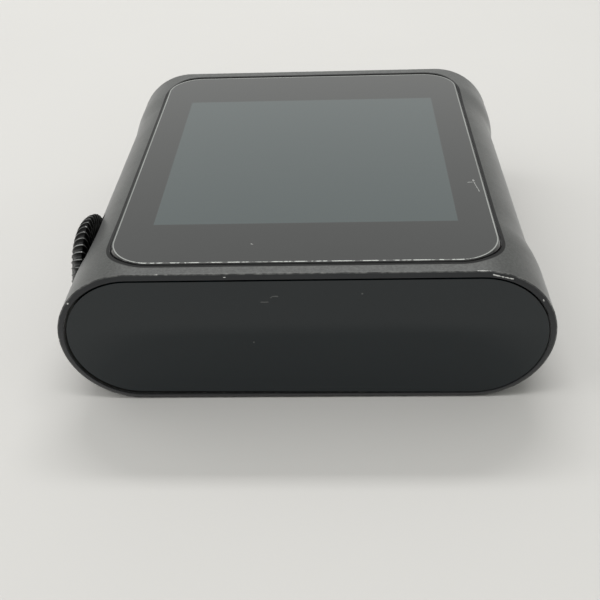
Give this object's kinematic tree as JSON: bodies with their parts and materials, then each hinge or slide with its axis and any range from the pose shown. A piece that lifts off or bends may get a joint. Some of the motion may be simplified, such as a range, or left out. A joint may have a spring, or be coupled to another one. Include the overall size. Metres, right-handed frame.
{
  "type": "digital audio player",
  "caption": "Small pill-section pocket audio player with a touch display, glossy end panels, a ribbed push-and-turn wheel on its side, a headphone socket and a card slot.",
  "frame": {"origin": "centre of the flat back face", "axes": "+X towards the card-slot side, away from the wheel; +Y towards the end with the headphone and USB sockets; +Z out of the front glass"},
  "size_m": [0.0441, 0.045, 0.0138],
  "materials": {
    "shell_metal": "bead-blasted dark grey anodised aluminium, polished end bevels",
    "front_glass": "black-bordered toughened glass with a polished edge",
    "adhesive": "black bonding tape",
    "touch_film": "clear laminated film",
    "lcd": "unlit display cell",
    "backlight": "white moulded light guide and reflector",
    "foam": "open-cell cushion",
    "flex": "amber flexible circuit",
    "connector_plastic": "moulded connector",
    "midframe_plastic": "glass-filled moulding",
    "board": "dark blue solder mask",
    "screw_steel": "zinc-plated screws",
    "chip": "moulded package",
    "plated_metal": "plated can",
    "ceramic": "ceramic parts with tinned ends",
    "pouch": "aluminium-laminate pouch",
    "board_green": "protection circuit under tape",
    "wire": "insulated leads",
    "jack_plastic": "black moulding",
    "gold_plate": "gold-plated springs",
    "collar_metal": "turned ring",
    "usb_metal": "deep-drawn stainless shell",
    "slider_plastic": "moulded slider",
    "antenna_plastic": "moulded carrier",
    "panel_gloss": "piano-black polished panel",
    "wheel_metal": "black ribbed crown",
    "shaft_steel": "ground steel sleeve",
    "gear_plastic": "acetal detent disc",
    "bushing": "turned bushing"
  },
  "bodies": {
    "player": {"main_shell": "shell_metal", "front_glass": "front_glass", "glass_adhesive": "adhesive", "touch_sensor": "touch_film", "lcd_panel": "lcd", "backlight_unit": "backlight", "display_foam": "foam", "display_flex": "flex", "display_connector": "connector_plastic", "midframe": "midframe_plastic", "midframe_pads": "adhesive", "main_pcb": "board", "pcb_screws": "screw_steel", "processor_chip": "chip", "memory_chip": "chip", "audio_chip": "chip", "power_chip": "chip", "clock_crystal": "plated_metal", "shield_can": "plated_metal", "passive_parts": "ceramic", "battery_cell": "pouch", "battery_foam": "foam", "battery_board": "board_green", "battery_leads": "wire", "battery_connector": "connector_plastic", "jack_body": "jack_plastic", "jack_contacts": "gold_plate", "jack_collar": "collar_metal", "usb_shell": "usb_metal", "usb_tongue": "jack_plastic", "card_socket_base": "jack_plastic", "card_socket_cover": "plated_metal", "antenna_carrier": "antenna_plastic", "antenna_trace": "gold_plate", "top_end_panel": "panel_gloss", "bottom_end_panel": "panel_gloss", "top_panel_adhesive": "adhesive", "bottom_panel_adhesive": "adhesive", "encoder_housing": "jack_plastic", "encoder_bushing": "bushing", "encoder_board": "board", "detent_spring": "plated_metal", "push_switch_body": "jack_plastic"},
    "press_pin": {"thrust_pin": "shaft_steel"},
    "wheel": {"wheel_cap": "wheel_metal", "wheel_shaft": "shaft_steel", "detent_gear": "gear_plastic"},
    "switch_button": {"switch_plunger": "slider_plastic"},
    "card_ejector": {"card_slider": "slider_plastic"}
  },
  "joints": [
    {"name": "wheel_press", "type": "slide", "parent": "player", "child": "press_pin", "axis": [1, 0, 0], "range_m": [0, 0.0002], "stiffness_N_per_m": 8000},
    {"name": "wheel_spin", "type": "hinge", "parent": "press_pin", "child": "wheel", "pos_m": [-0.0205, -0.0118, 0.0069], "axis": [1, 0, 0], "continuous": true},
    {"name": "switch_travel", "type": "slide", "parent": "player", "child": "switch_button", "axis": [1, 0, 0], "range_m": [0, 0.0002]},
    {"name": "card_eject", "type": "slide", "parent": "player", "child": "card_ejector", "axis": [-1, 0, 0], "range_m": [0, 0.0009], "stiffness_N_per_m": 500}
  ],
  "couplings": [
    {"joint": "switch_travel", "follows": "wheel_press", "ratio": 1}
  ]
}
